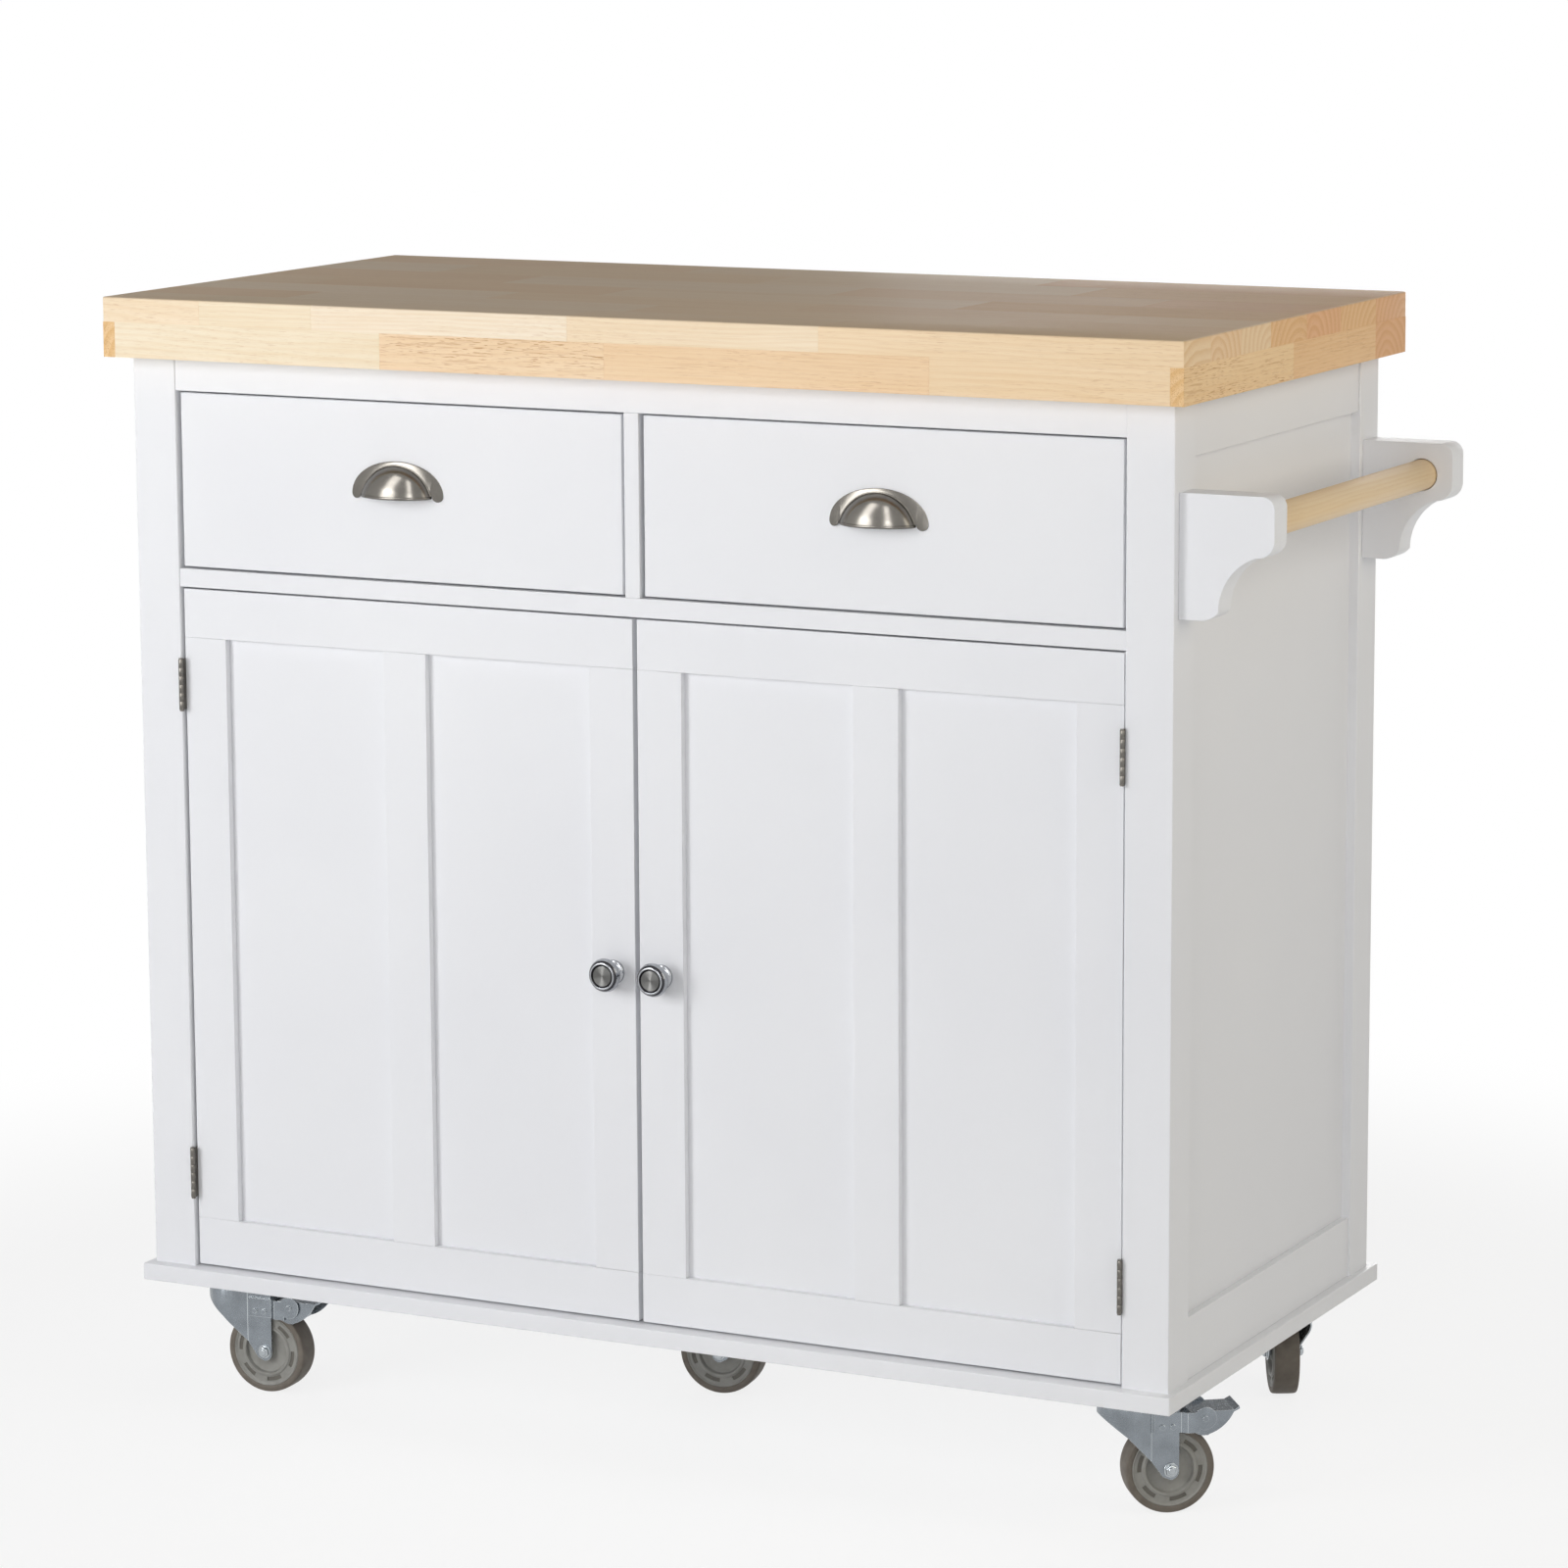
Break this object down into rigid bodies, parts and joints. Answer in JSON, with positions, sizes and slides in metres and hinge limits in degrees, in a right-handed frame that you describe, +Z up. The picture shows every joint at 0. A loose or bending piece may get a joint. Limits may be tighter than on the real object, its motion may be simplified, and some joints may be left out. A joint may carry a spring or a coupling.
{
  "type": "kitchen island cart",
  "caption": "Rolling kitchen island cart: frame-and-panel cabinet with drawers over hinged doors, butcher-block worktop, side towel bar and swivel casters.",
  "frame": {"origin": "on the floor under the middle of the whole cart's plan box, towel brackets included", "axes": "+X to the right seen from the front, +Y to the back, +Z up"},
  "size_m": [1.003, 0.46, 0.915],
  "materials": {
    "white_paint": "smooth satin white paint on wood",
    "oiled_wood": "oiled light hardwood staves",
    "dowel_wood": "clear-coated light hardwood",
    "raw_wood": "clear-sealed light softwood",
    "chrome_steel": "polished chrome rim with a brushed face disc",
    "brushed_nickel": "satin brushed nickel",
    "runner_steel": "bright zinc",
    "caster_rubber": "matt grey non-marking rubber",
    "zinc_fasteners": "bright zinc",
    "zinc_steel": "blue-passivated zinc plate"
  },
  "bodies": {
    "cabinet": {"adjustable_shelf": "white_paint", "back_left_post": "white_paint", "back_panel": "white_paint", "back_right_post": "white_paint", "base_board": "white_paint", "carcass_rails": "white_paint", "caster_screws": "zinc_fasteners", "caster_top_plates": "zinc_steel", "drawer_divider": "white_paint", "fixed_drawer_runners": "runner_steel", "front_left_post": "white_paint", "front_middle_rail": "white_paint", "front_right_post": "white_paint", "front_top_rail": "white_paint", "hinge_post_leaves": "brushed_nickel", "left_side_panel": "white_paint", "right_side_panel": "white_paint", "runner_cleats": "raw_wood", "shelf_pins": "zinc_fasteners", "towel_bar": "dowel_wood", "towel_brackets": "white_paint", "worktop_edge_strips": "oiled_wood", "worktop_panel": "oiled_wood"},
    "left_drawer": {"left_drawer_front": "white_paint", "left_drawer_box": "raw_wood", "left_drawer_bottom": "raw_wood", "left_drawer_runners": "runner_steel", "left_drawer_cup_pull": "brushed_nickel"},
    "right_drawer": {"right_drawer_front": "white_paint", "right_drawer_box": "raw_wood", "right_drawer_bottom": "raw_wood", "right_drawer_runners": "runner_steel", "right_drawer_cup_pull": "brushed_nickel"},
    "left_door": {"left_door_rails": "white_paint", "left_door_stiles": "white_paint", "left_door_panels": "white_paint", "left_door_knob": "chrome_steel", "left_door_hinge_leaves": "brushed_nickel"},
    "right_door": {"right_door_rails": "white_paint", "right_door_stiles": "white_paint", "right_door_panels": "white_paint", "right_door_knob": "chrome_steel", "right_door_hinge_leaves": "brushed_nickel"},
    "front_left_fork": {"front_left_caster_fork": "zinc_steel", "front_left_caster_axle": "zinc_fasteners"},
    "front_left_wheel": {"front_left_caster_wheel": "caster_rubber"},
    "front_left_pedal": {"front_left_brake_pedal": "zinc_steel"},
    "front_right_fork": {"front_right_caster_fork": "zinc_steel", "front_right_caster_axle": "zinc_fasteners"},
    "front_right_wheel": {"front_right_caster_wheel": "caster_rubber"},
    "front_right_pedal": {"front_right_brake_pedal": "zinc_steel"},
    "back_left_fork": {"back_left_caster_fork": "zinc_steel", "back_left_caster_axle": "zinc_fasteners"},
    "back_left_wheel": {"back_left_caster_wheel": "caster_rubber"},
    "back_right_fork": {"back_right_caster_fork": "zinc_steel", "back_right_caster_axle": "zinc_fasteners"},
    "back_right_wheel": {"back_right_caster_wheel": "caster_rubber"},
    "center_fork": {"center_caster_fork": "zinc_steel", "center_caster_axle": "zinc_fasteners"},
    "center_wheel": {"center_caster_wheel": "caster_rubber"}
  },
  "joints": [
    {"name": "left_drawer_slide", "type": "slide", "parent": "cabinet", "child": "left_drawer", "axis": [0, -1, 0], "range_m": [0, 0.26]},
    {"name": "right_drawer_slide", "type": "slide", "parent": "cabinet", "child": "right_drawer", "axis": [0, -1, 0], "range_m": [0, 0.26]},
    {"name": "left_door_hinge", "type": "hinge", "parent": "cabinet", "child": "left_door", "pos_m": [-0.4465, -0.2122, 0.396], "axis": [0, 0, -1], "range_deg": [0, 170]},
    {"name": "right_door_hinge", "type": "hinge", "parent": "cabinet", "child": "right_door", "pos_m": [0.3855, -0.2122, 0.396], "axis": [0, 0, 1], "range_deg": [0, 170]},
    {"name": "front_left_swivel", "type": "hinge", "parent": "cabinet", "child": "front_left_fork", "pos_m": [-0.4345, -0.166, 0.093], "axis": [0, 0, 1], "continuous": true},
    {"name": "front_left_roll", "type": "hinge", "parent": "front_left_fork", "child": "front_left_wheel", "pos_m": [-0.40355, -0.16427, 0.0355], "axis": [0.0558, -0.9984, 0], "continuous": true},
    {"name": "front_left_brake", "type": "hinge", "parent": "front_left_fork", "child": "front_left_pedal", "pos_m": [-0.37759, -0.16282, 0.0765], "axis": [-0.0558, 0.9984, 0], "range_deg": [0, 14]},
    {"name": "front_right_swivel", "type": "hinge", "parent": "cabinet", "child": "front_right_fork", "pos_m": [0.3735, -0.166, 0.093], "axis": [0, 0, 1], "continuous": true},
    {"name": "front_right_roll", "type": "hinge", "parent": "front_right_fork", "child": "front_right_wheel", "pos_m": [0.39832, -0.14743, 0.0355], "axis": [0.599, -0.8007, 0], "continuous": true},
    {"name": "front_right_brake", "type": "hinge", "parent": "front_right_fork", "child": "front_right_pedal", "pos_m": [0.41914, -0.13186, 0.0765], "axis": [-0.599, 0.8007, 0], "range_deg": [0, 14]},
    {"name": "back_left_swivel", "type": "hinge", "parent": "cabinet", "child": "back_left_fork", "pos_m": [-0.4345, 0.166, 0.093], "axis": [0, 0, 1], "continuous": true},
    {"name": "back_left_roll", "type": "hinge", "parent": "back_left_fork", "child": "back_left_wheel", "pos_m": [-0.46135, 0.1815, 0.0355], "axis": [0.5, 0.866, 0], "continuous": true},
    {"name": "back_right_swivel", "type": "hinge", "parent": "cabinet", "child": "back_right_fork", "pos_m": [0.3735, 0.166, 0.093], "axis": [0, 0, 1], "continuous": true},
    {"name": "back_right_roll", "type": "hinge", "parent": "back_right_fork", "child": "back_right_wheel", "pos_m": [0.35852, 0.19314, 0.0355], "axis": [0.8755, 0.4833, 0], "continuous": true},
    {"name": "center_swivel", "type": "hinge", "parent": "cabinet", "child": "center_fork", "pos_m": [-0.0305, 0, 0.093], "axis": [0, 0, 1], "continuous": true},
    {"name": "center_roll", "type": "hinge", "parent": "center_fork", "child": "center_wheel", "pos_m": [-0.0612, -0.00431, 0.0355], "axis": [-0.1392, 0.9903, 0], "continuous": true}
  ]
}
